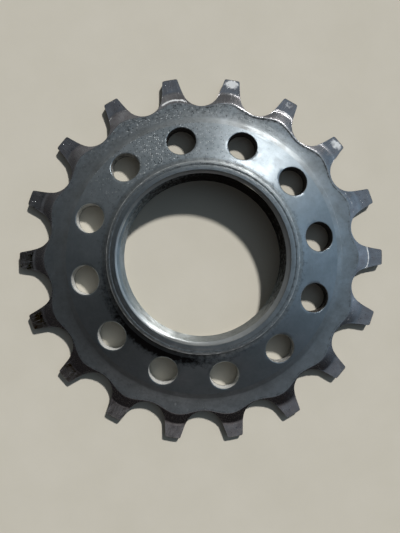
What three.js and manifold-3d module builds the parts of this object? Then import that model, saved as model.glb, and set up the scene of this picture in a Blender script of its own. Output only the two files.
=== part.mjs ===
// A fixed-gear bicycle sprocket: one piece of steel, turned, toothed, drilled and tapped.
// Millimetres, +Z up. The origin is on the axis, in the plane of the flat back face, and the
// collar rises along +Z. +X runs through a tooth.
// The solid is made the way a machine shop makes it: a turned blank is trimmed to the outline
// of the teeth, twelve holes are drilled through its cone, and a tap threads its bore.
import * as THREE from "three";
import { mergeVertices } from "three/addons/utils/BufferGeometryUtils.js";
import Module from "manifold-3d";

// Chain and teeth: half-inch pitch, and 7.75 mm rollers with running room. The plate is 2.25 mm
// thick and its teeth are thinned in front and behind, to enter a chain 3/32 inch wide inside.
const PITCH = 12.7;
const TEETH = 18;
const PITCH_R = PITCH / 2 / Math.sin(Math.PI / TEETH);
const SEAT_R = 4;
const SEAT_HALF_ANGLE = THREE.MathUtils.degToRad(60); // where the seat's arc meets the flank
const FLANK_PULL = 1.1; // how far the flank carries on along the seat's tangent
const TIP_R = 39.1;
const TIP_HALF_WIDTH = 1.62;

// Thread: 1.37 inch by 24 threads to the inch, right-handed.
const THREAD_MAJOR_R = (1.37 * 25.4) / 2;
const THREAD_LEAD = 25.4 / 24;
const THREAD_DEPTH = 0.54 * THREAD_LEAD;
const THREAD_MINOR_R = THREAD_MAJOR_R - THREAD_DEPTH;
const TAP_DRILL_R = THREAD_MINOR_R - 0.8; // the tap clears away the wall that this leaves

// Heights above the back face, from the teeth up to the collar.
const BACK_TIP_Z = 0.4;
const TOOTH_CREASE_Z = 1.27;
const TIP_Z = 1.38;
const RIM_Z = 2.25;
const CONE_FOOT_Z = 2.42;
const COLLAR_Z = 7.8;

// Radii of the turned steps, from the teeth in to the bore.
const TOOTH_CREASE_R = 36.1;
const BACK_BEVEL_R = 35.4;
const RIM_R = 33.3;
const RIM_FLAT_R = 32.2; // from here in to the cone's foot the rim rises a little
const CONE_FOOT_R = 29.9;
const CONE_TOP_R = 20.75;
const CONE_SLOPE = Math.tan(THREE.MathUtils.degToRad(17.5));
const COLLAR_R = 19.45;
const COLLAR_FILLET = 0.9;
const COLLAR_EDGE = 0.12;
const COLLAR_FACE_R = 18.6;
const COLLAR_FALL = 0.05; // how far the band outside the collar's face falls away
const MOUTH_R = 17.65;
const MOUTH_SLOPE = Math.tan(THREE.MathUtils.degToRad(32)); // of the countersink at each mouth

// Plain holes that lighten the cone.
const HOLES = 12;
const FIRST_HOLE_ANGLE = Math.PI / TEETH; // above a gap between two teeth
const HOLE_CIRCLE_R = 25;
const HOLE_R = 3.1;
const HOLE_EDGE_BREAK = 0.2;

// How finely the round shapes are cut.
const TURN_STEPS = 72;
const HOLE_STEPS = 24;
const TAP_STEPS = 48;
const SEAT_STEPS = 8;
const FLANK_STEPS = 3;
const FILLET_STEPS = 5;
const CLEAR = 1; // how far a cutter reaches past the metal
const WELD = 1e-4; // corners closer than this are one corner

const wasm = await Module();
wasm.setup();

function solid(geometry) {
  const bare = new THREE.BufferGeometry();
  bare.setAttribute("position", geometry.getAttribute("position"));
  bare.setIndex(geometry.getIndex());
  const merged = mergeVertices(bare, WELD);
  const vertProperties = merged.getAttribute("position").array;
  const triVerts = new Uint32Array(merged.getIndex().array);
  return new wasm.Manifold(new wasm.Mesh({ numProp: 3, vertProperties, triVerts }));
}

function geometryOf(manifold) {
  const mesh = manifold.getMesh();
  const geometry = new THREE.BufferGeometry();
  geometry.setAttribute("position", new THREE.BufferAttribute(mesh.vertProperties, 3));
  geometry.setIndex(new THREE.BufferAttribute(mesh.triVerts, 1));
  return geometry;
}

// A shape turned about +Z, from a closed outline of [radius, height] points.
function turned(outline, steps) {
  const points = [...outline, outline[0]].map(([r, z]) => new THREE.Vector2(r, z));
  return new THREE.LatheGeometry(points, steps).rotateX(Math.PI / 2);
}

// Points on a curve that leaves `from` towards `corner` and bends round to reach `to`.
function curved(from, corner, to, steps) {
  const ends = [from, corner, to].map(([x, y]) => new THREE.Vector2(x, y));
  const curve = new THREE.QuadraticBezierCurve(...ends);
  return curve.getPoints(steps).map((point) => [point.x, point.y]);
}

// The blank as it leaves the lathe: a dished disc with its collar, still to be threaded.
function turnedBlank() {
  const outerR = TIP_R + CLEAR;
  const backRise = BACK_TIP_Z / (TIP_R - BACK_BEVEL_R);
  const tipRise = (TIP_Z - TOOTH_CREASE_Z) / (TIP_R - TOOTH_CREASE_R);
  const coneTopZ = CONE_FOOT_Z + (CONE_FOOT_R - CONE_TOP_R) * CONE_SLOPE;
  const mouthDepth = (MOUTH_R - TAP_DRILL_R) * MOUTH_SLOPE;
  const collarFillet = curved(
    [CONE_TOP_R, coneTopZ],
    [COLLAR_R, coneTopZ],
    [COLLAR_R, coneTopZ + COLLAR_FILLET],
    FILLET_STEPS,
  );
  const outline = [
    [TAP_DRILL_R, mouthDepth],
    [MOUTH_R, 0],
    [BACK_BEVEL_R, 0],
    [outerR, BACK_TIP_Z + backRise * CLEAR],
    [outerR, TIP_Z + tipRise * CLEAR],
    [TOOTH_CREASE_R, TOOTH_CREASE_Z],
    [RIM_R, RIM_Z],
    [RIM_FLAT_R, RIM_Z],
    [CONE_FOOT_R, CONE_FOOT_Z],
    ...collarFillet,
    [COLLAR_R, COLLAR_Z - COLLAR_FALL - COLLAR_EDGE],
    [COLLAR_R - COLLAR_EDGE, COLLAR_Z - COLLAR_FALL],
    [COLLAR_FACE_R, COLLAR_Z],
    [MOUTH_R, COLLAR_Z],
    [TAP_DRILL_R, COLLAR_Z - mouthDepth],
  ];
  return turned(outline, TURN_STEPS);
}

// One gap between teeth, centred on the X axis: tip corner, flank, roller seat, flank, corner.
function gapOutline() {
  const tipAngle = Math.PI / TEETH - Math.asin(TIP_HALF_WIDTH / TIP_R);
  const seatEnd = [
    PITCH_R - SEAT_R * Math.cos(SEAT_HALF_ANGLE),
    SEAT_R * Math.sin(SEAT_HALF_ANGLE),
  ];
  const pull = [
    seatEnd[0] + FLANK_PULL * Math.sin(SEAT_HALF_ANGLE),
    seatEnd[1] + FLANK_PULL * Math.cos(SEAT_HALF_ANGLE),
  ];
  const tip = [TIP_R * Math.cos(tipAngle), TIP_R * Math.sin(tipAngle)];
  const flank = curved(seatEnd, pull, tip, FLANK_STEPS);
  const seat = [];
  for (let i = 1; i < SEAT_STEPS; i++) {
    const angle = SEAT_HALF_ANGLE * ((2 * i) / SEAT_STEPS - 1);
    seat.push([PITCH_R - SEAT_R * Math.cos(angle), SEAT_R * Math.sin(angle)]);
  }
  const otherFlank = [...flank].reverse().map(([x, y]) => [x, -y]);
  return [...otherFlank, ...seat, ...flank];
}

// A tall prism with the outline of all the teeth, which trims the blank as a hob would.
function toothPrism() {
  const axis = new THREE.Vector2();
  const points = [];
  for (let gap = 0; gap < TEETH; gap++) {
    const angle = ((2 * gap + 1) * Math.PI) / TEETH;
    for (const [x, y] of gapOutline()) {
      points.push(new THREE.Vector2(x, y).rotateAround(axis, angle));
    }
  }
  const depth = COLLAR_Z + 2 * CLEAR;
  const prism = new THREE.ExtrudeGeometry(new THREE.Shape(points), {
    depth,
    bevelEnabled: false,
  });
  return prism.translate(0, 0, -CLEAR);
}

// A drill that goes right through, from the back face to above the cone.
function drill() {
  const height = COLLAR_Z + 2 * CLEAR;
  const geometry = new THREE.CylinderGeometry(HOLE_R, HOLE_R, height, HOLE_STEPS);
  geometry.rotateX(Math.PI / 2);
  return geometry.translate(HOLE_CIRCLE_R, 0, height / 2 - CLEAR);
}

// A countersink that widens upwards from its foot, which lies one edge break below zero.
function countersink() {
  const height = HOLE_EDGE_BREAK + CLEAR;
  const geometry = new THREE.CylinderGeometry(HOLE_R + height, HOLE_R, height, HOLE_STEPS);
  geometry.rotateX(Math.PI / 2);
  return geometry.translate(0, 0, height / 2 - HOLE_EDGE_BREAK);
}

// The front countersink is tilted with the cone, so that the broken edge has one width.
function frontEdgeBreaker() {
  const faceZ = CONE_FOOT_Z + (CONE_FOOT_R - HOLE_CIRCLE_R) * CONE_SLOPE;
  const geometry = countersink().rotateY(Math.atan(CONE_SLOPE));
  return geometry.translate(HOLE_CIRCLE_R, 0, faceZ);
}

function backEdgeBreaker() {
  return countersink().rotateX(Math.PI).translate(HOLE_CIRCLE_R, 0, 0);
}

// The tap: a rod with a helical ridge. Its wall is a grid of columns, each a little higher
// than the one before, so that the last column meets the first one a whole lead higher up.
function tap() {
  const ridge = [
    [THREAD_MINOR_R, 0],
    [THREAD_MAJOR_R, 5 / 16],
    [THREAD_MAJOR_R, 7 / 16],
    [THREAD_MINOR_R, 3 / 4],
  ];
  const turns = Math.ceil((COLLAR_Z + 2 * CLEAR) / THREAD_LEAD) + 1;
  const startZ = -CLEAR - THREAD_LEAD;
  const rows = turns * ridge.length;
  const wallRows = rows - ridge.length;
  const positions = [];
  for (let column = 0; column < TAP_STEPS; column++) {
    const angle = (column * 2 * Math.PI) / TAP_STEPS;
    for (let row = 0; row <= rows; row++) {
      const [r, share] = ridge[row % ridge.length];
      const turn = Math.floor(row / ridge.length) + share + column / TAP_STEPS;
      positions.push(r * Math.cos(angle), r * Math.sin(angle), startZ + turn * THREAD_LEAD);
    }
  }
  const foot = positions.length / 3;
  const head = foot + 1;
  positions.push(0, 0, startZ);
  positions.push(0, 0, startZ + turns * THREAD_LEAD);
  const at = (column, row) => {
    const joins = column === TAP_STEPS;
    return joins ? row + ridge.length : column * (rows + 1) + row;
  };
  const index = [];
  for (let column = 0; column < TAP_STEPS; column++) {
    for (let row = 0; row < wallRows; row++) {
      const [low, lowNext] = [at(column, row), at(column + 1, row)];
      const [high, highNext] = [at(column, row + 1), at(column + 1, row + 1)];
      index.push(low, lowNext, highNext);
      index.push(low, highNext, high);
    }
    index.push(foot, at(column + 1, 0), at(column, 0));
    index.push(head, at(column, wallRows), at(column + 1, wallRows));
  }
  for (let row = 0; row < ridge.length; row++) {
    index.push(foot, at(0, row), at(0, row + 1));
    index.push(head, at(0, wallRows + row + 1), at(0, wallRows + row));
  }
  const geometry = new THREE.BufferGeometry();
  geometry.setAttribute("position", new THREE.Float32BufferAttribute(positions, 3));
  geometry.setIndex(index);
  return geometry;
}

function sprocketGeometry() {
  let body = solid(turnedBlank()).intersect(solid(toothPrism()));
  for (let hole = 0; hole < HOLES; hole++) {
    const angle = FIRST_HOLE_ANGLE + (hole * 2 * Math.PI) / HOLES;
    for (const cutter of [drill(), frontEdgeBreaker(), backEdgeBreaker()]) {
      body = body.subtract(solid(cutter.rotateZ(angle)));
    }
  }
  return geometryOf(body.subtract(solid(tap())));
}

// Steel under a dark, worn plating.
const platedSteel = new THREE.MeshStandardMaterial({
  color: 0x6b7075,
  roughness: 0.35,
  metalness: 1,
});

const group = new THREE.Group();
const sprocket = new THREE.Mesh(sprocketGeometry(), platedSteel);
sprocket.name = "sprocket";
group.add(sprocket);

export default group;
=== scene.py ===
import bpy
import numpy as np
from mathutils import Matrix, Vector


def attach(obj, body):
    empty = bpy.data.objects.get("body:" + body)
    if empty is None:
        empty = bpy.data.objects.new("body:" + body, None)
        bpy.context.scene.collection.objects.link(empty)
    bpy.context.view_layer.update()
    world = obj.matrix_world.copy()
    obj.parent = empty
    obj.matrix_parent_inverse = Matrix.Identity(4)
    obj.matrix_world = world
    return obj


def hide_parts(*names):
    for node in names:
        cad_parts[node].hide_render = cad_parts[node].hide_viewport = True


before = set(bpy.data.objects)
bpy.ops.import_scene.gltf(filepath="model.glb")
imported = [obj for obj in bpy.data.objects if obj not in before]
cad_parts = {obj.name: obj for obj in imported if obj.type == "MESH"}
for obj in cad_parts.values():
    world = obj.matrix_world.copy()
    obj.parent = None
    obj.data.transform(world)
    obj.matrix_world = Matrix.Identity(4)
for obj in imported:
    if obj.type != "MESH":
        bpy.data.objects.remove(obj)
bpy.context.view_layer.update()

# ---------------------------------------------------------------------------------------------
# The outline of the teeth. A hob cuts eighteen roller seats into the edge of the turned steel
# blank, for a half-inch chain: each gap is an arc about its roller with slightly convex flanks,
# and a flat land is left on each tip.
# ---------------------------------------------------------------------------------------------
# Sizes are in millimetres until the skin becomes a mesh.
TEETH = 18
CHAIN_PITCH = 12.7
PITCH_R = CHAIN_PITCH / 2 / np.sin(np.pi / TEETH)
SEAT_R = 4.0
SEAT_HALF_ANGLE = np.radians(60)
FLANK_PULL = 1.1
TIP_R = 39.1
TIP_HALF_WIDTH = 1.62
TIP_CORNER_R = 0.3


def curved(start, corner, end, count):
    """Points (1-t)^2 start + 2t(1-t) corner + t^2 end, for t from 0 to 1."""
    t = np.linspace(0.0, 1.0, count)[:, None]
    return (1 - t) ** 2 * np.array(start) + 2 * t * (1 - t) * np.array(corner) + t**2 * np.array(end)


def half_tooth_outline():
    """Angle and radius from the middle of a tooth to the middle of a gap: an arc of the tip
    land, a rounded corner, the flank, and the seat's arc about a point of the pitch circle."""
    half = np.pi / TEETH
    seat_turn = np.linspace(SEAT_HALF_ANGLE, 0.0, 60)
    seat = np.stack([PITCH_R - SEAT_R * np.cos(seat_turn), SEAT_R * np.sin(seat_turn)], 1)
    tip_angle = half - np.arcsin(TIP_HALF_WIDTH / TIP_R)
    tip = TIP_R * np.array([np.cos(tip_angle), np.sin(tip_angle)])
    tangent = np.array([np.sin(SEAT_HALF_ANGLE), np.cos(SEAT_HALF_ANGLE)])
    flank = curved(tip, seat[0] + FLANK_PULL * tangent, seat[0], 60)
    land_turn = np.linspace(half, tip_angle, 20)
    land = TIP_R * np.stack([np.cos(land_turn), np.sin(land_turn)], 1)
    before = land[np.linalg.norm(land - tip, axis=1) > TIP_CORNER_R]
    after = flank[np.linalg.norm(flank - tip, axis=1) > TIP_CORNER_R]
    corner = curved(before[-1], tip, after[0], 8)
    line = np.concatenate([before, corner[1:-1], after, seat[1:]])
    return half - np.arctan2(line[:, 1], line[:, 0]), np.hypot(line[:, 0], line[:, 1])


# Every ring of the skin has the same columns, 44 to a tooth. These are their degrees from the
# middle of a tooth, closest together at the tip's corners.
ACROSS_HALF_TOOTH = [0, 0.6, 1.2, 1.75, 2.08, 2.27, 2.45, 2.8, 3.2, 3.65, 4.3]
ACROSS_HALF_TOOTH += list(np.linspace(5.0, 10.0, 11, endpoint=False))
half_columns = np.radians(ACROSS_HALF_TOOTH)
COLUMNS = 2 * len(half_columns) * TEETH
TOOTH_TURN = 2 * np.pi / TEETH
one_tooth = np.concatenate([half_columns, [TOOTH_TURN / 2], -half_columns[:0:-1]])
from_tooth = np.tile(one_tooth, TEETH)
tooth_number = np.repeat(np.arange(TEETH), len(one_tooth))
angle = tooth_number * TOOTH_TURN + np.where(from_tooth < 0, from_tooth + TOOTH_TURN, from_tooth)
tooth_number = np.where(from_tooth < 0, tooth_number + 1, tooth_number) % TEETH
outline_r = np.interp(np.abs(from_tooth), *half_tooth_outline())

# ---------------------------------------------------------------------------------------------
# The threaded bore. A tap cuts a right-hand 1.37 inch thread, 24 turns to the inch, through the
# full height, and a countersink at 32 degrees opens each mouth. The steel is bare, bright on the
# crests and darker in the roots, and painted shade darkens the wall on the side that faces away
# from the sun.
# ---------------------------------------------------------------------------------------------
COLLAR_Z = 7.8
INCH = 25.4
LEAD = INCH / 24
MAJOR_R = 1.37 * INCH / 2
THREAD_DEPTH = 0.54 * LEAD
MINOR_R = MAJOR_R - THREAD_DEPTH
# One turn of the thread up the wall, as shares of its lead: a flank, a root, a flank, a crest.
RIDGE_SHARE = [0.0, 5 / 16, 7 / 16, 3 / 4, 1.0]
RIDGE_R = [MINOR_R, MAJOR_R, MAJOR_R, MINOR_R, MINOR_R]
MOUTH_R = 17.65
MOUTH_EDGE = 0.06
MOUTH_LIP = 0.08
MOUTH_SLOPE = np.tan(np.radians(32))
MOUTH_DEPTH = MOUTH_LIP + (MOUTH_R - MINOR_R) * MOUTH_SLOPE
GREASE_EDGE = 0.4

skin_points = []
skin_quads = []
skin_finish = []


def ring(r, z, turn=angle, worn=0.0, grime=0.0, pitted=0.0):
    """Adds the points (r cos turn, r sin turn, z), with how much wear and painted highlight, how
    much dirt and painted shade and how many pits the surface has there, each from 0 to 1, and
    returns their numbers in the skin."""
    values = np.broadcast_arrays(r, z, turn, worn, grime, pitted)
    r, z, turn, *marks = [np.asarray(value, float) for value in values]
    start = sum(len(block) for block in skin_points)
    block = np.stack([r * np.cos(turn), r * np.sin(turn), z, *marks], -1)
    skin_points.append(block.reshape(-1, 6))
    return np.arange(start, start + r.size).reshape(r.shape)


def cover(rings, finish, closed=True, outward=True):
    """Lays quads between rings of points; a closed ring's last column joins its first."""
    rings = np.asarray(rings)
    here = rings if closed else rings[:, :-1]
    there = np.roll(rings, -1, axis=1) if closed else rings[:, 1:]
    quads = np.stack([here[:-1], here[1:], there[1:], there[:-1]], -1).reshape(-1, 4)
    skin_quads.append(quads if outward else quads[:, ::-1])
    skin_finish.append(np.full(len(quads), finish))


def colour(code):
    """The linear colour of an sRGB hex code: c/12.92 up to 0.04045, else ((c+0.055)/1.055)^2.4."""
    c = np.array([int(code[i : i + 2], 16) for i in (1, 3, 5)]) / 255
    return (*np.where(c <= 0.04045, c / 12.92, ((c + 0.055) / 1.055) ** 2.4).tolist(), 1.0)


def node(tree, kind, inputs, **settings):
    """Adds a node with its settings, and gives each input a value or links it to a socket."""
    made = tree.nodes.new(kind)
    for name, value in settings.items():
        setattr(made, name, value)
    for place, value in inputs.items():
        if isinstance(value, bpy.types.NodeSocket):
            tree.links.new(value, made.inputs[place])
        else:
            made.inputs[place].default_value = value
    return made


finishes = []
GRAIN_MM = 0.35
PATCH_MM = 0.8
SHAKE_MM = 0.4
SHAKEN_BY_MM = 0.35
RELIEF_MM = 0.03
TARNISH = "#4b5152"
# One dark colour for dried oil and for painted shade.
DRIED_OIL_AND_SHADE = "#1e1511"
PIT_FLOOR = "#1a1b1e"
# What a finish has unless it says otherwise. Its tool lines are rings round the axis, or level
# lines on a wall.
PLAIN = {
    "wall": False, "metallic": 1.0, "scratch_mm": 0.22, "scratch_show": 0.2, "flecks": 1.0,
    "scuffed": 0.0, "mottle": 0.0,
}


def steel(name, look):
    """Makes a finish of plated or bare steel and returns its place in the list of finishes. Its
    colour runs between two shades in soft stains. Scratches, tarnish, a dark layer of dried oil and
    painted shade, a pale layer of bare metal and painted highlight, and dark pits lie over that in
    turn, and most of them change the roughness and the relief too. The look gives the colours, the
    sizes of the patterns in millimetres and how strongly each shows, and the marks on the skin say
    where it has wear and painted highlight, dirt and painted shade, and pits."""
    look = PLAIN | look
    material = bpy.data.materials.new(name)
    material.use_nodes = True
    tree = material.node_tree
    shader = tree.nodes["Principled BSDF"]
    place = node(tree, "ShaderNodeTexCoord", {}).outputs["Object"]
    x, y, z = node(tree, "ShaderNodeSeparateXYZ", {0: place}).outputs
    flat = node(tree, "ShaderNodeCombineXYZ", {"X": x, "Y": y}).outputs[0]
    radius = node(tree, "ShaderNodeVectorMath", {0: flat}, operation="LENGTH").outputs["Value"]
    turn = node(tree, "ShaderNodeMath", {0: y, 1: x}, operation="ARCTAN2").outputs[0]
    worn, grime, pitted = [
        node(tree, "ShaderNodeAttribute", {}, attribute_name=mark).outputs["Fac"]
        for mark in ("worn", "grime", "pitted")
    ]

    # Four noises: stains a few millimetres across, the grain of the surface, the ragged edges of
    # dirt and wear, and a fine one that shakes the outlines of the pits.
    stain, grain, ragged, shake = [
        node(tree, "ShaderNodeTexNoise", {
            "Vector": place, "Scale": 1000 / size_mm, "Detail": detail, "Roughness": harshness,
        }).outputs
        for size_mm, detail, harshness in (
            (look["stain_mm"], 5.0, 0.62),
            (GRAIN_MM, 3.0, 0.6),
            (PATCH_MM, 4.0, 0.65),
            (SHAKE_MM, 2.0, 0.5),
        )
    ]

    # Tool lines about as far apart as the feed of the real tool, which is too close for one line
    # to be seen by itself: together they give the sheen of a turned face.
    lines = node(tree, "ShaderNodeTexNoise", {
        "W": z if look["wall"] else radius, "Scale": 1000 / look["line_mm"], "Detail": 2.0,
    }, noise_dimensions="1D").outputs["Fac"]

    # Scratches: long cells round the axis, or along the radius on the teeth.
    polar = node(tree, "ShaderNodeCombineXYZ", {"X": turn, "Y": radius}).outputs[0]
    rate = (look["scratches_per_radian"], 1000 / look["scratch_mm"], 1.0)
    sweep = node(tree, "ShaderNodeVectorMath", {0: polar, 1: rate}, operation="MULTIPLY").outputs[0]
    scratch = node(tree, "ShaderNodeTexNoise", {"Vector": sweep, "Scale": 1.0, "Detail": 2.0},
                   noise_dimensions="2D").outputs["Fac"]
    scratch = node(tree, "ShaderNodeMapRange", {
        "Value": scratch, "From Min": 0.6, "From Max": 0.78,
    }).outputs[0]

    # Pits and bright flecks: the middles of some cells of an irregular mesh, chosen at random.
    # Where the skin is marked as pitted they are larger and there are more of them.
    shift = (SHAKEN_BY_MM / 1000,) * 3
    shaken = node(tree, "ShaderNodeVectorMath", {0: shake["Color"], 1: shift, 2: place},
                  operation="MULTIPLY_ADD").outputs[0]
    cells = node(tree, "ShaderNodeTexVoronoi", {
        "Vector": shaken, "Scale": 1000 / look["pit_mm"], "Randomness": 1.0,
    }).outputs
    chance = node(tree, "ShaderNodeSeparateColor", {0: cells["Color"]}).outputs[0]
    size = node(tree, "ShaderNodeMapRange", {
        "Value": pitted, "To Min": 0.1, "To Max": 0.34,
    }).outputs[0]
    inside = node(tree, "ShaderNodeMath", {0: size, 1: cells["Distance"]},
                  operation="SUBTRACT").outputs[0]
    spot = node(tree, "ShaderNodeMapRange", {
        "Value": inside, "From Min": 0.0, "From Max": 0.09,
    }).outputs[0]
    pit_share = node(tree, "ShaderNodeMapRange", {
        "Value": pitted, "To Min": look["pits"], "To Max": 0.62,
    }).outputs[0]
    fleck_from = node(tree, "ShaderNodeMath", {0: 1.06, 1: pit_share}, operation="SUBTRACT").outputs[0]
    pit, fleck = [
        node(tree, "ShaderNodeMath", {
            0: spot, 1: node(tree, "ShaderNodeMath", {0: chance, 1: limit}, operation=test).outputs[0],
        }, operation="MULTIPLY").outputs[0]
        for test, limit in (("LESS_THAN", pit_share), ("GREATER_THAN", fleck_from))
    ]

    # Dirt and painted shade, and wear and painted highlight, break up into ragged patches where
    # their marks fade, and flecks are bare too.
    oil_and_shade, bare = [
        node(tree, "ShaderNodeMapRange", {
            "Value": node(tree, "ShaderNodeMath", {0: mark, 1: ragged["Fac"]}).outputs[0],
            "From Min": low, "From Max": high,
        }).outputs[0]
        for mark, low, high in ((grime, 0.75, 1.25), (worn, 0.84, 1.12))
    ]
    bright = node(tree, "ShaderNodeMath", {0: fleck, 1: look["flecks"]}, operation="MULTIPLY").outputs[0]
    bare = node(tree, "ShaderNodeMath", {0: bare, 1: bright}, operation="MAXIMUM").outputs[0]
    tint = node(tree, "ShaderNodeMapRange", {
        "Value": stain["Fac"], "From Min": 0.34, "From Max": 0.66,
    }).outputs[0]
    cloudy = node(tree, "ShaderNodeMapRange", {
        "Value": ragged["Fac"], "From Min": 0.46, "From Max": 0.64,
    }).outputs[0]
    exposed = node(tree, "ShaderNodeMath", {0: pitted, 1: 0.12}).outputs[0]
    tarnish = node(tree, "ShaderNodeMath", {0: cloudy, 1: exposed}, operation="MULTIPLY").outputs[0]

    # The layers of colour, each with where it lies and how much of it shows. Inputs 6 and 7 and
    # output 2 of a Mix node are its colours.
    paint = colour(look["dull"])
    for layer, strength, code in (
        (tint, 1.0, look["clean"]),
        (scratch, look["scratch_show"], look["bare"]),
        (tarnish, look["mottle"], TARNISH),
        (oil_and_shade, look["oil_and_shade"], DRIED_OIL_AND_SHADE),
        (bare, 1.0, look["bare"]),
        (pit, 0.7, PIT_FLOOR),
    ):
        share = node(tree, "ShaderNodeMath", {0: layer, 1: strength}, operation="MULTIPLY").outputs[0]
        paint = node(tree, "ShaderNodeMix", {0: share, 6: paint, 7: colour(code)},
                     data_type="RGBA").outputs[2]
    tree.links.new(paint, shader.inputs["Base Color"])

    rough = look["rough"]
    for layer, added in ((tint, -0.08), (lines, look["line_rough"]), (scratch, 0.08), (oil_and_shade, 0.22),
                         (bare, 0.12)):
        rough = node(tree, "ShaderNodeMath", {0: layer, 1: added, 2: rough},
                     operation="MULTIPLY_ADD").outputs[0]
    rough = node(tree, "ShaderNodeMath", {0: rough, 1: 0.85}, operation="MINIMUM").outputs[0]
    tree.links.new(rough, shader.inputs["Roughness"])

    # The relief, in units of RELIEF_MM. Patches of dirt and painted shade, and bare patches, are
    # lumpy.
    patches = node(tree, "ShaderNodeMath", {0: oil_and_shade, 1: 0.5, 2: bare}, operation="MULTIPLY_ADD").outputs[0]
    lumps = node(tree, "ShaderNodeMath", {0: ragged["Fac"], 1: patches}, operation="MULTIPLY").outputs[0]
    height = 0.0
    for layer, raised in ((lines, look["line_deep"]), (grain["Fac"], look["grain_deep"]), (pit, -1.0),
                          (scratch, -0.25), (lumps, 1.2)):
        height = node(tree, "ShaderNodeMath", {0: layer, 1: raised, 2: height},
                      operation="MULTIPLY_ADD").outputs[0]
    bump = node(tree, "ShaderNodeBump", {
        "Height": height, "Distance": RELIEF_MM / 1000, "Strength": 1.0,
    }).outputs[0]
    tree.links.new(bump, shader.inputs["Normal"])

    # Scuffed metal scatters light almost as a matt surface does.
    shader.inputs["Metallic"].default_value = look["metallic"]
    if look["scuffed"] > 0:
        torn = node(tree, "ShaderNodeMath", {0: pitted, 1: 0.2, 2: bare}, operation="MULTIPLY_ADD").outputs[0]
        metal = node(tree, "ShaderNodeMath", {0: torn, 1: -look["scuffed"], 2: look["metallic"]},
                     operation="MULTIPLY_ADD").outputs[0]
        tree.links.new(metal, shader.inputs["Metallic"])
    finishes.append(material)
    return len(finishes) - 1


# Bare steel as a tap leaves it: grey, and duller than a turned face.
cut_thread = steel("tapped_bare_steel", {
    "clean": "#b3b7b7", "dull": "#979c9a", "bare": "#c9cccb", "stain_mm": 3.0, "line_mm": 0.05,
    "scratches_per_radian": 3, "pit_mm": 1.2, "pits": 0.0, "oil_and_shade": 0.95, "rough": 0.37,
    "line_rough": 0.1, "line_deep": 0.25, "grain_deep": 0.06, "wall": True, "scuffed": 0.3,
})

# Bare steel cut by a countersink: smooth, so that it shines as one bright band.
countersunk_mouth = steel("countersunk_bare_steel", {
    "clean": "#d2d5d4", "dull": "#bbbfbf", "bare": "#e4e6e5", "stain_mm": 4.0, "line_mm": 0.024,
    "scratches_per_radian": 3, "pit_mm": 1.2, "pits": 0.0, "oil_and_shade": 0.8, "rough": 0.3,
    "line_rough": 0.16, "line_deep": 0.35, "grain_deep": 0.03, "metallic": 0.93, "wall": True,
})


def sector(middle, width, turn=angle):
    """1 at one azimuth in degrees, falling smoothly to 0 at this many degrees from it."""
    away = np.abs((np.degrees(turn) - middle + 180) % 360 - 180)
    return np.cos(np.clip(away / width, 0, 1) * np.pi / 2) ** 2


def bore_r(z, turn):
    """Radius of the bore: the thread's at this height and turn, or the countersink's cone at
    either mouth where that is wider."""
    thread_r = np.interp((z / LEAD - turn / (2 * np.pi)) % 1.0, RIDGE_SHARE, RIDGE_R)
    from_mouth = np.maximum(np.minimum(z, COLLAR_Z - z) - MOUTH_LIP, 0.0)
    return np.maximum(thread_r, MOUTH_R - from_mouth / MOUTH_SLOPE)


def bore_ring(z, turn=angle):
    """A ring of the bore at this height. It is darker away from the mouths and most in the thread's
    roots, and painted shade darkens the whole wall on the side about 60 degrees round, which faces
    away from the sun."""
    r = bore_r(z, turn)
    depth = np.clip((r - MINOR_R) / (MAJOR_R - MINOR_R), 0, 1)
    inside = np.clip((np.minimum(z, COLLAR_Z - z) - MOUTH_DEPTH) / GREASE_EDGE, 0, 1)
    # Painted shade on the side of the wall turned away from the sun.
    wall_shade = 0.7 * np.sqrt(sector(60, 110, turn))
    return ring(r, z, turn, worn=0.1 * (1 - inside), grime=inside * (0.15 + 0.4 * depth + wall_shade))


# The thread is a surface of its own: its rows climb one lead to a turn and are held flat at the
# two mouths, and it closes on itself one turn of rows further up.
ROWS_PER_TURN = 4
rows = np.arange((int(COLLAR_Z / LEAD) + 3) * ROWS_PER_TURN)[:, None]
share = np.array(RIDGE_SHARE)[rows % ROWS_PER_TURN]
climb = (rows // ROWS_PER_TURN - 1 + share + angle / (2 * np.pi)) * LEAD
thread = bore_ring(np.clip(climb, MOUTH_DEPTH, COLLAR_Z - MOUTH_DEPTH))
lowest = (climb <= MOUTH_DEPTH).sum(0) - 1
highest = (climb < COLLAR_Z - MOUTH_DEPTH).sum(0)
thread = np.take_along_axis(thread, np.clip(rows, lowest, highest), 0)
seam = np.roll(thread[:, :1], -ROWS_PER_TURN, axis=0)
seam[-ROWS_PER_TURN:] = thread[-1, 0]
cover(np.concatenate([thread, seam], 1), cut_thread, closed=False)
upper_mouth = [thread[-1]]
lower_mouth = [thread[0]]
for share in (0.3, 0.6, 1.0):
    depth = MOUTH_DEPTH + (MOUTH_LIP - MOUTH_DEPTH) * share
    upper_mouth.append(bore_ring(COLLAR_Z - depth))
    lower_mouth.append(bore_ring(depth))
cover(upper_mouth, countersunk_mouth)
cover(lower_mouth, countersunk_mouth, outward=False)

# ---------------------------------------------------------------------------------------------
# The collar that carries the lockring, turned in one piece with the cone and plated: a narrow
# flat face, a fine groove, a band that falls away a little, a broken outer edge, and a fillet
# at its foot, darker all round and darkened most by painted shade on the side about 235 degrees
# round, where the collar's shadow falls.
# ---------------------------------------------------------------------------------------------
COLLAR_R = 19.45
FACE_R = 18.6
GROOVE_DEPTH = 0.035
BAND_FALL = 0.03
FILLET = 0.9
CONE_FOOT_R = 29.9
CONE_FOOT_Z = 2.42
CONE_SLOPE = np.tan(np.radians(17.5))
CONE_START_R = 20.75

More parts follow.
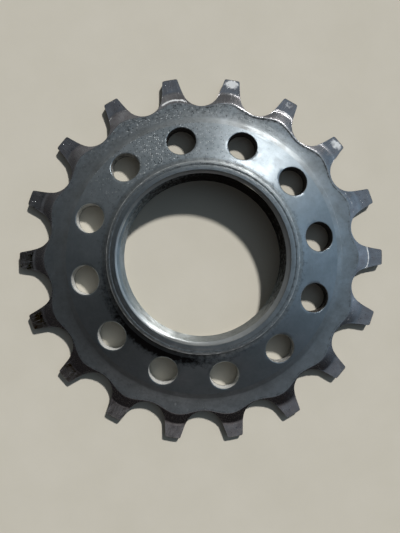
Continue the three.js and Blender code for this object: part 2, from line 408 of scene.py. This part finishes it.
# Thin plating on a turned face: a soft grey sheen, dulled by tarnish.
turned_collar = steel("turned_plated_steel", {
    "clean": "#c0c5c5", "dull": "#a7acae", "bare": "#d8dbda", "stain_mm": 2.5, "line_mm": 0.06,
    "scratches_per_radian": 12, "pit_mm": 0.45, "pits": 0.1, "oil_and_shade": 0.7, "rough": 0.36,
    "line_rough": 0.1, "line_deep": 0.3, "grain_deep": 0.2, "scuffed": 0.3, "mottle": 0.35,
})


def cone_z(r):
    """Height of the cone's face: a straight slope up from its foot."""
    return CONE_FOOT_Z + (CONE_FOOT_R - r) * CONE_SLOPE


band_dirt = 0.35 + 0.35 * sector(80, 60)
face_pits = 0.1 + 0.5 * sector(70, 60)
collar = [upper_mouth[-1]]
collar.append(ring(MOUTH_R + MOUTH_EDGE, COLLAR_Z, worn=0.3))
collar.append(ring(MOUTH_R + 0.35, COLLAR_Z, pitted=face_pits))
collar.append(ring(FACE_R - 0.04, COLLAR_Z, worn=0.2, pitted=0.1 + 0.6 * sector(70, 60)))
collar.append(ring(FACE_R, COLLAR_Z - 0.01, grime=0.3))
collar.append(ring(FACE_R + 0.05, COLLAR_Z - GROOVE_DEPTH, grime=0.55))
collar.append(ring(FACE_R + 0.11, COLLAR_Z - 0.01, grime=0.3))
collar.append(ring(FACE_R + 0.3, COLLAR_Z - 0.01, grime=band_dirt, pitted=band_dirt))
edge_z = COLLAR_Z - BAND_FALL
collar.append(ring(COLLAR_R - 0.12, edge_z, worn=0.4, pitted=band_dirt))
collar.append(ring(COLLAR_R - 0.04, edge_z - 0.04, worn=0.6))
collar.append(ring(COLLAR_R, edge_z - 0.12, worn=0.4))
fillet_corner = [COLLAR_R, cone_z(CONE_START_R)]
fillet_top = [COLLAR_R, cone_z(CONE_START_R) + FILLET]
# Painted shade in the fillet, deepest about 235 degrees round where the collar's shadow falls.
for r, z in curved(fillet_top, fillet_corner, [CONE_START_R, cone_z(CONE_START_R)], 8):
    collar.append(ring(r, z, grime=0.3 + 0.65 * sector(235, 65)))
cover(collar, turned_collar)

# ---------------------------------------------------------------------------------------------
# The cone between collar and rim, turned and then plated. Twelve plain holes that save weight
# are drilled straight down through it, in line with a gap and a tooth in turn, and both ends of
# each are broken by a countersink. Their walls are bare. Painted shade darkens the walls that,
# seen from above, face away from the sun, and the lower part of every wall.
# ---------------------------------------------------------------------------------------------
HOLES = 12
HOLE_TURN = 2 * np.pi / HOLES
FIRST_HOLE = np.pi / TEETH
HOLE_CIRCLE_R = 25.0
HOLE_R = 3.1
HOLE_EDGE = 0.16
HOLE_MOUTH_R = HOLE_R + HOLE_EDGE
WALL_STEP_Z = 1.2
CONE_INNER_R = 21.3
CONE_OUTER_R = 28.85
BACK_INNER_R = 21.0
BACK_OUTER_R = 29.0
SIDE_POINTS = 13
FOOT_SHADE_R = 23.6
FOOT_SHADE_WIDTH = 2.0
# How much painted shade darkens the wall of each hole, from the one at 40 degrees round: most
# where the wall seen from above faces away from the sun.
HOLE_WALL_SHADE = [1.0, 1.0, 0.9, 0.55, 0.25, 0.05, 0.0, 0.05, 0.2, 0.5, 0.8, 1.0]

# Satin plating on a turned face: bluish, with a broad soft sheen, stains and fine specks.
satin_cone = steel("satin_plated_steel", {
    "clean": "#b7c0c6", "dull": "#a0aab0", "bare": "#cfd3d3", "stain_mm": 6.0, "line_mm": 0.11,
    "scratches_per_radian": 5, "pit_mm": 0.42, "pits": 0.05, "oil_and_shade": 0.95, "rough": 0.42,
    "line_rough": 0.05, "line_deep": 0.12, "grain_deep": 0.25, "scuffed": 0.45, "mottle": 0.3,
})
# Steel torn by a twist drill: its furrows scatter the light, so it looks pale and almost matt.
hole_wall = steel("drilled_bare_steel", {
    "clean": "#dcdcd8", "dull": "#c4c4c0", "bare": "#eceeec", "stain_mm": 1.5, "line_mm": 0.06,
    "scratches_per_radian": 5, "pit_mm": 1.0, "pits": 0.0, "oil_and_shade": 0.95, "rough": 0.5,
    "line_rough": 0.12, "line_deep": 1.5, "grain_deep": 0.3, "wall": True, "metallic": 0.25,
})
# Steel faced on the lathe, with little plating left: a darker, plainer grey.
turned_back = steel("turned_back_steel", {
    "clean": "#9da3a4", "dull": "#808586", "bare": "#cdd0cf", "stain_mm": 8.0, "line_mm": 0.09,
    "scratches_per_radian": 9, "pit_mm": 1.1, "pits": 0.08, "oil_and_shade": 0.6, "rough": 0.36,
    "line_rough": 0.12, "line_deep": 0.5, "grain_deep": 0.35,
})

per_hole = COLUMNS // HOLES
first_column = int(np.argmin(np.abs(angle - (FIRST_HOLE + HOLE_TURN / 2))))


def cone_marks(r, turn):
    """How pitted the cone is and how much painted shade darkens it: most pits about 108 degrees
    round, and painted shade against the collar's foot, most of it about 240 degrees round, where
    the collar's shadow falls."""
    field = 0.12 + 0.88 * sector(108, 70, turn)
    collar_shade = 0.2 + 0.75 * sector(240, 60, turn)
    foot = np.clip((FOOT_SHADE_R - r) / FOOT_SHADE_WIDTH, 0, 1)
    return {"pitted": 0.85 * field, "grime": collar_shade * foot}


def hole_middle(hole):
    """The middle of a sector's hole. Sector 0 holds the hole one place on from the first."""
    turn = FIRST_HOLE + HOLE_TURN * (hole + 1)
    return HOLE_CIRCLE_R * np.array([np.cos(turn), np.sin(turn)])


def round_holes(inner_ring, outer_ring, r_inner, r_outer, height, marks):
    """Fills an annulus with twelve sectors, each about a hole. The steps of a sector are loops of
    points (1-t) border + t circle, from its border at t = 0 to the hole's mouth at t = 1. Returns
    each sector's steps, and the direction of each column from the middle of the hole."""
    side_r = np.linspace(r_inner, r_outer, SIDE_POINTS + 2)[1:-1]
    starts = (first_column + per_hole * np.arange(HOLES)) % COLUMNS
    sides = [ring(side_r, height(side_r), angle[k], **marks(side_r, angle[k])) for k in starts]
    sectors = []
    for hole in range(HOLES):
        columns = (starts[hole] + np.arange(per_hole + 1)) % COLUMNS
        left, right = sides[hole], sides[(hole + 1) % HOLES]
        border = np.concatenate([inner_ring[columns], right, outer_ring[columns[::-1]], left[::-1]])
        xy = np.concatenate(skin_points)[border, :2]
        middle = hole_middle(hole)
        way = np.arctan2(*(xy - middle).T[::-1])
        circle = middle + HOLE_MOUTH_R * np.stack([np.cos(way), np.sin(way)], 1)
        steps = [border]
        for t in (0.3, 0.6, 0.85, 1.0):
            at = xy * (1 - t) + circle * t
            r, turn = np.hypot(*at.T), np.arctan2(*at.T[::-1])
            steps.append(ring(r, height(r), turn, **marks(r, turn)))
        sectors.append((steps, way))
    return sectors


def hole_ring(hole, way, hole_r, drop=None, z=0.0, **marks):
    """A circle round a hole's middle, at a drop below the cone's face or at a height z."""
    at = hole_middle(hole) + hole_r * np.stack([np.cos(way), np.sin(way)], 1)
    r = np.hypot(*at.T)
    return ring(r, z if drop is None else cone_z(r) - drop, np.arctan2(*at.T[::-1]), **marks)


def no_marks(r, turn):
    """A clean face has no marks."""
    return {}


cone_inner = ring(CONE_INNER_R, cone_z(CONE_INNER_R), **cone_marks(CONE_INNER_R, angle))
cone_outer = ring(CONE_OUTER_R, cone_z(CONE_OUTER_R), **cone_marks(CONE_OUTER_R, angle))
cover([collar[-1], cone_inner], satin_cone)
back_inner = ring(BACK_INNER_R, 0.0)
back_outer = ring(BACK_OUTER_R, 0.0)
front = round_holes(cone_inner, cone_outer, CONE_INNER_R, CONE_OUTER_R, cone_z, cone_marks)
back = round_holes(back_inner, back_outer, BACK_INNER_R, BACK_OUTER_R, np.zeros_like, no_marks)
for hole, ((front_steps, way), (back_steps, _)) in enumerate(zip(front, back)):
    cover(front_steps, satin_cone)
    cover(back_steps, turned_back, outward=False)
    # Painted shade on the hole's wall, as much as its entry in the list, and on every hole darker towards the
    # wall's lower end.
    oil_and_shade = HOLE_WALL_SHADE[hole]
    wall = [front_steps[-1]]
    wall.append(hole_ring(hole, way, HOLE_R + 0.05, drop=0.06, worn=0.1, grime=0.5 * oil_and_shade))
    wall.append(hole_ring(hole, way, HOLE_R, drop=HOLE_EDGE, grime=0.8 * oil_and_shade))
    wall.append(hole_ring(hole, way, HOLE_R, drop=WALL_STEP_Z, grime=oil_and_shade))
    wall.append(hole_ring(hole, way, HOLE_R, z=WALL_STEP_Z, grime=oil_and_shade))
    wall.append(hole_ring(hole, way, HOLE_R, z=HOLE_EDGE, grime=np.maximum(oil_and_shade, 0.6)))
    wall.append(back_steps[-1])
    cover(wall[:3], satin_cone)
    cover(wall[2:], hole_wall)

# ---------------------------------------------------------------------------------------------
# The rim and the teeth, of the same plated steel. Outside a scalloped line each tooth is coined
# down at 23 degrees, so that it enters the chain, to a crease beyond which its tip is almost
# flat. The chain has burred a lip at some creases, bared some tips and left dirt at the line.
# ---------------------------------------------------------------------------------------------
RIM_Z = 2.25
RIM_FLAT_R = 31.9
SCALLOP_R = 33.02
SCALLOP_WAVE = 0.6
COIN_SLOPE = 0.42
CREASE_AT = 2.4
CREASE_FALL = 0.98
TIP_RISE = 0.035
CREASE_SOFT = 0.045
EDGE_ROUND = 0.12
LIP_AT = CREASE_AT + 0.1
LIP_WIDTH = 0.16
TIP_AT = 2.5
DENT_DEPTH = 0.035
PATCH_R = 38.1
PATCH_LENGTH = 1.05
PATCH_TURN = 2.4
RUBBED_AT = 0.65
RUBBED_WIDTH = 0.22
RUBBED_HALF_ANGLE = np.radians(4.4)
BACK_BEVEL_R = 35.4
BACK_TIP_Z = 0.4
WALL_EDGE = 0.08
# For each tooth from +X round: the height of its lip, how bare its lip and its tip are, and how
# bare a chain has rubbed the foot of its slope.
LIP_HEIGHT = [0.05, 0.02, 0.03, 0.05, 0.02, 0.02, 0.03, 0.0, 0.03, 0.02, 0.02, 0.0, 0.0, 0.02, 0.02,
              0.03, 0.0, 0.03]
LIP_BARE = [0.75, 0.2, 0.05, 0.6, 0.15, 0.35, 0.5, 0.0, 0.15, 0.1, 0.1, 0.0, 0.0, 0.1, 0.1, 0.2, 0.1,
            0.25]
TIP_BARE = [0.1, 0.3, 0.75, 0.5, 0.95, 0.15, 0.1, 0.25, 0.1, 0.15, 0.1, 0.1, 0.15, 0.0, 0.1, 0.1,
            0.2, 0.15]
FOOT_BARE = [0.1, 0.45, 0.0, 0.0, 0.1, 0.85, 0.1, 0.3, 0.0, 0.0, 0.0, 0.0, 0.0, 0.0, 0.0, 0.1, 0.1,
             0.35]

# The cone's plating after weather has mottled and pitted it: greyer, with dark and pale specks.
pitted_rim = steel("pitted_plated_steel", {
    "clean": "#bfc5c8", "dull": "#a4a8a9", "bare": "#d3d6d6", "stain_mm": 3.5, "line_mm": 0.1,
    "scratches_per_radian": 6, "pit_mm": 0.42, "pits": 0.1, "oil_and_shade": 0.85, "rough": 0.42,
    "line_rough": 0.06, "line_deep": 0.15, "grain_deep": 0.35, "scuffed": 0.3, "mottle": 0.5,
})
# Steel pressed smooth by coining, then rubbed by the chain: glossier, with pale torn scuffs.
coined_tooth = steel("coined_worn_steel", {
    "clean": "#bfbec1", "dull": "#a39fa1", "bare": "#eceeee", "stain_mm": 1.6, "line_mm": 0.12,
    "scratches_per_radian": 110, "scratch_mm": 2.6, "scratch_show": 0.06, "pit_mm": 0.5, "pits": 0.04,
    "oil_and_shade": 0.8, "rough": 0.27, "line_rough": 0.03, "line_deep": 0.05, "grain_deep": 0.2,
    "scuffed": 0.6, "flecks": 0.2, "mottle": 0.25,
})
# Steel cut by a hob and stained by oil: a rough brownish grey.
hobbed_edge = steel("hobbed_steel_edge", {
    "clean": "#898582", "dull": "#6d6a67", "bare": "#c9c9c6", "stain_mm": 1.2, "line_mm": 0.08,
    "scratches_per_radian": 40, "pit_mm": 0.8, "pits": 0.1, "oil_and_shade": 0.7, "rough": 0.42,
    "line_rough": 0.1, "line_deep": 0.5, "grain_deep": 0.7, "wall": True,
})

# The scalloped line, and how far the outline reaches beyond it.
scallop_r = SCALLOP_R + SCALLOP_WAVE * np.cos(TEETH * angle)
reach = outline_r - scallop_r
lip_height = np.array(LIP_HEIGHT)[tooth_number]
lip_bare = np.array(LIP_BARE)[tooth_number]
tip_bare = np.array(TIP_BARE)[tooth_number]
foot_bare = np.array(FOOT_BARE)[tooth_number]


def ripple(u, v, seed):
    """A smooth random surface from -1 to 1: the mean of eight sine waves with fixed random
    directions, wavelengths of 0.7 to 3 units and phases."""
    rng = np.random.default_rng(seed)
    heading, phase = rng.uniform(0, 2 * np.pi, (2, 8))
    wave = 2 * np.pi / rng.uniform(0.7, 3.0, 8)
    run = np.multiply.outer(u, wave * np.cos(heading)) + np.multiply.outer(v, wave * np.sin(heading))
    return np.sin(run + phase).mean(-1)


def tooth_face(d):
    """A ring of the tooth faces, d outside the scalloped line. Its fall below the rim is the
    smooth minimum -s log(exp(-a/s) + exp(-b/s)) of the coined slope's fall a and the tip plane's
    b. The lip's ridge and small random dents are added to that."""
    slope = COIN_SLOPE * (np.sqrt(d**2 + EDGE_ROUND**2) - EDGE_ROUND)
    plane = CREASE_FALL - TIP_RISE * (d - CREASE_AT)
    fall = -CREASE_SOFT * np.log(np.exp(-slope / CREASE_SOFT) + np.exp(-plane / CREASE_SOFT))
    r = scallop_r + d
    lip = np.exp(-(((d - LIP_AT) / LIP_WIDTH) ** 2))
    x, y = r * np.cos(angle), r * np.sin(angle)
    on_tip = np.clip((d - TIP_AT) / 0.8, 0, 1)
    dents = DENT_DEPTH * on_tip * ripple(x, y, 5)
    z = RIM_Z - fall + lip_height * lip + dents
    patch = np.exp(-((np.degrees(from_tooth) / PATCH_TURN) ** 2) - ((r - PATCH_R) / PATCH_LENGTH) ** 2)
    rubbed = np.exp(-(((d - RUBBED_AT) / RUBBED_WIDTH) ** 2)) * (np.abs(from_tooth) < RUBBED_HALF_ANGLE)
    worn = np.clip(lip * lip_bare + patch * tip_bare + rubbed * foot_bare, 0, 1)
    grime = 0.35 * np.clip(1 - np.abs(d - 2.2) / 0.6, 0, 1) * (1 - lip_bare)
    return ring(r, z, worn=worn, grime=grime + 0.2 * on_tip * (1 - tip_bare), pitted=0.5 * on_tip)


rim_pits = 0.1 + 0.8 * sector(100, 75) + 0.3 * sector(255, 65)
edge_dirt = 0.35 + 0.45 * sector(55, 50)
# A painted highlight: the crease at the cone's foot is made paler on the side towards the sun, most about 20
# degrees round.
crease_worn = 0.5 * sector(20, 75)
scuffs = 0.3 * sector(255, 65)
# From the crisp crease at the cone's foot the rim falls a little and is then flat.
rim = [cone_outer]
rim.append(ring(CONE_FOOT_R - 0.12, cone_z(CONE_FOOT_R - 0.12), worn=0.3 * crease_worn))
rim.append(ring(CONE_FOOT_R, CONE_FOOT_Z + 0.01, worn=crease_worn))
rim.append(ring(CONE_FOOT_R + 0.14, CONE_FOOT_Z - 0.02, worn=0.3 * crease_worn))
for share in (0.4, 0.7, 1.0):
    r = CONE_FOOT_R + (RIM_FLAT_R - CONE_FOOT_R) * share
    z = RIM_Z + (CONE_FOOT_Z - RIM_Z) * (1 - share) ** 1.3
    rim.append(ring(r, z, worn=scuffs * share, pitted=rim_pits))
for inwards, oil_and_shade in ((0.45, 0.5), (0.3, 1.0), (0.12, 0.6)):
    rim.append(ring(scallop_r - inwards, RIM_Z, worn=scuffs, grime=oil_and_shade * edge_dirt,
                    pitted=rim_pits))
rim.append(tooth_face(0.0 * reach))
cover(rim, pitted_rim)

crease = np.minimum(CREASE_AT, 0.8 * reach)
teeth = [rim[-1]]
for share in (0.04, 0.1, 0.3, 0.55, 0.75, 0.87, 0.95, 1.0):
    teeth.append(tooth_face(crease * share))
for share in (0.05, 0.1, 0.17, 0.3, 0.45, 0.6, 0.75, 0.9, 0.97):
    teeth.append(tooth_face(crease + (reach - crease) * share))
cover(teeth, coined_tooth)

top_edge = np.concatenate(skin_points)[teeth[-1], 2]
back_z = BACK_TIP_Z * np.clip((outline_r - BACK_BEVEL_R) / (TIP_R - BACK_BEVEL_R), 0, 1)
edge = [teeth[-1]]
edge.append(ring(outline_r, top_edge - WALL_EDGE, worn=0.35))
edge.append(ring(outline_r, top_edge - 0.3, grime=0.1))
edge.append(ring(outline_r, (top_edge + back_z) / 2, grime=0.2))
edge.append(ring(outline_r, back_z + WALL_EDGE, worn=0.1, grime=0.3))
cover(edge, hobbed_edge)

# ---------------------------------------------------------------------------------------------
# The back face of the same steel. It is faced flat on the lathe, square to the bore, because it
# seats against the hub's shoulder, and the teeth are thinned behind by a slight bevel.
# ---------------------------------------------------------------------------------------------
BACK_MIDDLE_R = 31.0
SEAT_MIDDLE_R = 19.0
under = [edge[-1]]
under.append(ring(outline_r - WALL_EDGE, back_z, worn=0.3))
under.append(ring(np.minimum(BACK_BEVEL_R, outline_r - 0.5), 0.0, worn=0.1))
under.append(ring(BACK_MIDDLE_R, 0.0))
under.append(back_outer)
cover(under, turned_back)
seat = [back_inner]
seat.append(ring(SEAT_MIDDLE_R, 0.0, worn=0.1))
seat.append(ring(MOUTH_R + MOUTH_EDGE, 0.0, worn=0.25))
seat.append(lower_mouth[-1])
cover(seat, turned_back)

# ---------------------------------------------------------------------------------------------
# The finished sprocket: one piece of steel, so all the surfaces above close into one skin. It
# screws on to its hub as a whole and nothing on it moves, so it rides the root.
# ---------------------------------------------------------------------------------------------


def mesh_of_skin(name):
    """One mesh of all the quads. Where rows run together a quad has two equal corners next to
    each other, and it becomes a triangle or, with two such pairs, nothing."""
    quads = np.concatenate(skin_quads)
    finish = np.concatenate(skin_finish)
    doubled = quads == np.roll(quads, -1, axis=1)
    used, flat = np.unique(quads, return_inverse=True)
    quads = flat.reshape(quads.shape)
    whole = doubled.sum(1) == 0
    halved = doubled.sum(1) == 1
    triangles = quads[halved][~doubled[halved]].reshape(-1, 3)
    points = np.concatenate(skin_points)[used]
    mesh = bpy.data.meshes.new(name)
    mesh.from_pydata((points[:, :3] / 1000).tolist(), [], quads[whole].tolist() + triangles.tolist())
    order = np.concatenate([finish[whole], finish[halved]])
    mesh.polygons.foreach_set("material_index", order.astype(np.int32))
    for column, mark in enumerate(("worn", "grime", "pitted"), start=3):
        attribute = mesh.attributes.new(mark, "FLOAT", "POINT")
        attribute.data.foreach_set("value", points[:, column].astype(np.float32))
    return mesh


SHARP_ANGLE = np.radians(28)
body_mesh = mesh_of_skin("track_sprocket")
for material in finishes:
    body_mesh.materials.append(material)
body_mesh.shade_smooth()
body_mesh.set_sharp_from_angle(angle=SHARP_ANGLE)
body = bpy.data.objects.new("track_sprocket", body_mesh)
bpy.context.scene.collection.objects.link(body)
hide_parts("sprocket")
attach(body, "root")

# ---------------------------------------------------------------------------------------------
# The stage: a plain floor of pale stone, honed matt, with faint clouds in its colour.
# ---------------------------------------------------------------------------------------------
FLOOR_HALF = 1.0
CLOUD_MM = 14
floor_mesh = bpy.data.meshes.new("floor")
corners = [(x * FLOOR_HALF, y * FLOOR_HALF, 0.0) for x, y in ((-1, -1), (1, -1), (1, 1), (-1, 1))]
floor_mesh.from_pydata(corners, [], [(0, 1, 2, 3)])
floor = bpy.data.objects.new("floor", floor_mesh)
bpy.context.scene.collection.objects.link(floor)
stone = bpy.data.materials.new("honed_pale_stone")
stone.use_nodes = True
stone_tree = stone.node_tree
stone_shader = stone_tree.nodes["Principled BSDF"]
stone_place = node(stone_tree, "ShaderNodeTexCoord", {}).outputs["Object"]
cloud = node(stone_tree, "ShaderNodeTexNoise", {
    "Vector": stone_place, "Scale": 1000 / CLOUD_MM, "Detail": 6.0, "Roughness": 0.6,
}).outputs["Fac"]
stone_paint = node(stone_tree, "ShaderNodeMix", {
    0: cloud, 6: colour("#beb9ab"), 7: colour("#cac5b9"),
}, data_type="RGBA").outputs[2]
stone_tree.links.new(stone_paint, stone_shader.inputs["Base Color"])
stone_shader.inputs["Roughness"].default_value = 0.8
floor_mesh.materials.append(stone)

# ---------------------------------------------------------------------------------------------
# Light: the sun, 40 degrees up at the upper right, in soft surroundings that are bluest to the
# right, warm and bright below, and dark just left of overhead.
# ---------------------------------------------------------------------------------------------
# The camera's own x axis is turned from the part's by this much about Z, and the azimuths of the
# lights are measured from it.
VIEW_ROLL = np.radians(-0.5)


def towards(azimuth, elevation):
    """The unit vector at this azimuth and elevation in degrees."""
    a = np.radians(azimuth) + VIEW_ROLL
    e = np.radians(elevation)
    return Vector((np.cos(a) * np.cos(e), np.sin(a) * np.cos(e), np.sin(e)))


# Two lamps in one place, each with its energy and its width in degrees: the key's light on matt
# surfaces, and its glint on metal, which is wider and weaker.
KEY_FROM = towards(60.5, 39.9)
for name, energy, width, hidden_from in (
    ("key", 4.1, 4, "visible_glossy"),
    ("glint", 0.66, 7, "visible_diffuse"),
):
    lamp = bpy.data.lights.new(name, "SUN")
    lamp.energy = energy
    lamp.color = (1.0, 0.985, 0.965)
    lamp.angle = np.radians(width)
    stand = bpy.data.objects.new(name, lamp)
    stand.rotation_euler = KEY_FROM.to_track_quat("Z", "Y").to_euler()
    setattr(stand, hidden_from, False)
    bpy.context.scene.collection.objects.link(stand)

room = bpy.data.worlds.new("soft_room")
bpy.context.scene.world = room
room.use_nodes = True
room_tree = room.node_tree
heading = node(room_tree, "ShaderNodeTexCoord", {}).outputs["Generated"]
# The surroundings: a faint even light and soft patches of it, each with its azimuth and
# elevation in degrees, its tightness and its colour. The last one takes light away.
EVEN_LIGHT = (0.018, 0.016, 0.016)
PATCHES = [
    (20, 38, 6, (0.185, 0.285, 0.375)),
    (2, 24, 14, (0.20, 0.23, 0.27)),
    (60, 42, 20, (0.12, 0.12, 0.10)),
    (112, 27, 10, (0.27, 0.28, 0.28)),
    (50, 76, 14, (0.115, 0.15, 0.19)),
    (165, 50, 16, (0.085, 0.095, 0.10)),
    (268, 61, 50, (0.36, 0.34, 0.33)),
    (325, 66, 20, (0.06, 0.06, 0.06)),
    (190, 80, 55, (-0.24, -0.26, -0.29)),
]
glow = EVEN_LIGHT
for azimuth, elevation, tightness, tone in PATCHES:
    facing = node(room_tree, "ShaderNodeVectorMath", {0: heading, 1: towards(azimuth, elevation)},
                  operation="DOT_PRODUCT").outputs["Value"]
    front = node(room_tree, "ShaderNodeMath", {0: facing, 1: 0.0}, operation="MAXIMUM").outputs[0]
    lobe = node(room_tree, "ShaderNodeMath", {0: front, 1: tightness}, operation="POWER").outputs[0]
    patch = node(room_tree, "ShaderNodeVectorMath", {0: tone, "Scale": lobe}, operation="SCALE").outputs[0]
    glow = node(room_tree, "ShaderNodeVectorMath", {0: glow, 1: patch}).outputs[0]
room_tree.links.new(glow, room_tree.nodes["Background"].inputs["Color"])

# ---------------------------------------------------------------------------------------------
# The camera: straight above and close, with its eye a little to the left of and below the axis.
# ---------------------------------------------------------------------------------------------
LENS = 37.17
SENSOR = 36.0
EYE = (-2.49, -1.84, 90.4)
LOOKED_AT = (-0.52, -1.73, 0.0)
camera_data = bpy.data.cameras.new("camera")
camera_data.sensor_fit = "HORIZONTAL"
camera_data.sensor_width = SENSOR
camera_data.lens = LENS
camera_data.clip_start = 0.001
camera = bpy.data.objects.new("camera", camera_data)
bpy.context.scene.collection.objects.link(camera)
eye = Vector(EYE) / 1000
ahead = (Vector(LOOKED_AT) / 1000 - eye).normalized()
right = ahead.cross(Vector((0, 1, 0))).normalized()
pose = Matrix((right, right.cross(ahead), -ahead)).transposed().to_4x4()
pose.translation = eye
camera.matrix_world = Matrix.Rotation(VIEW_ROLL, 4, "Z") @ pose
bpy.context.scene.camera = camera
bpy.context.scene.view_settings.view_transform = "Standard"
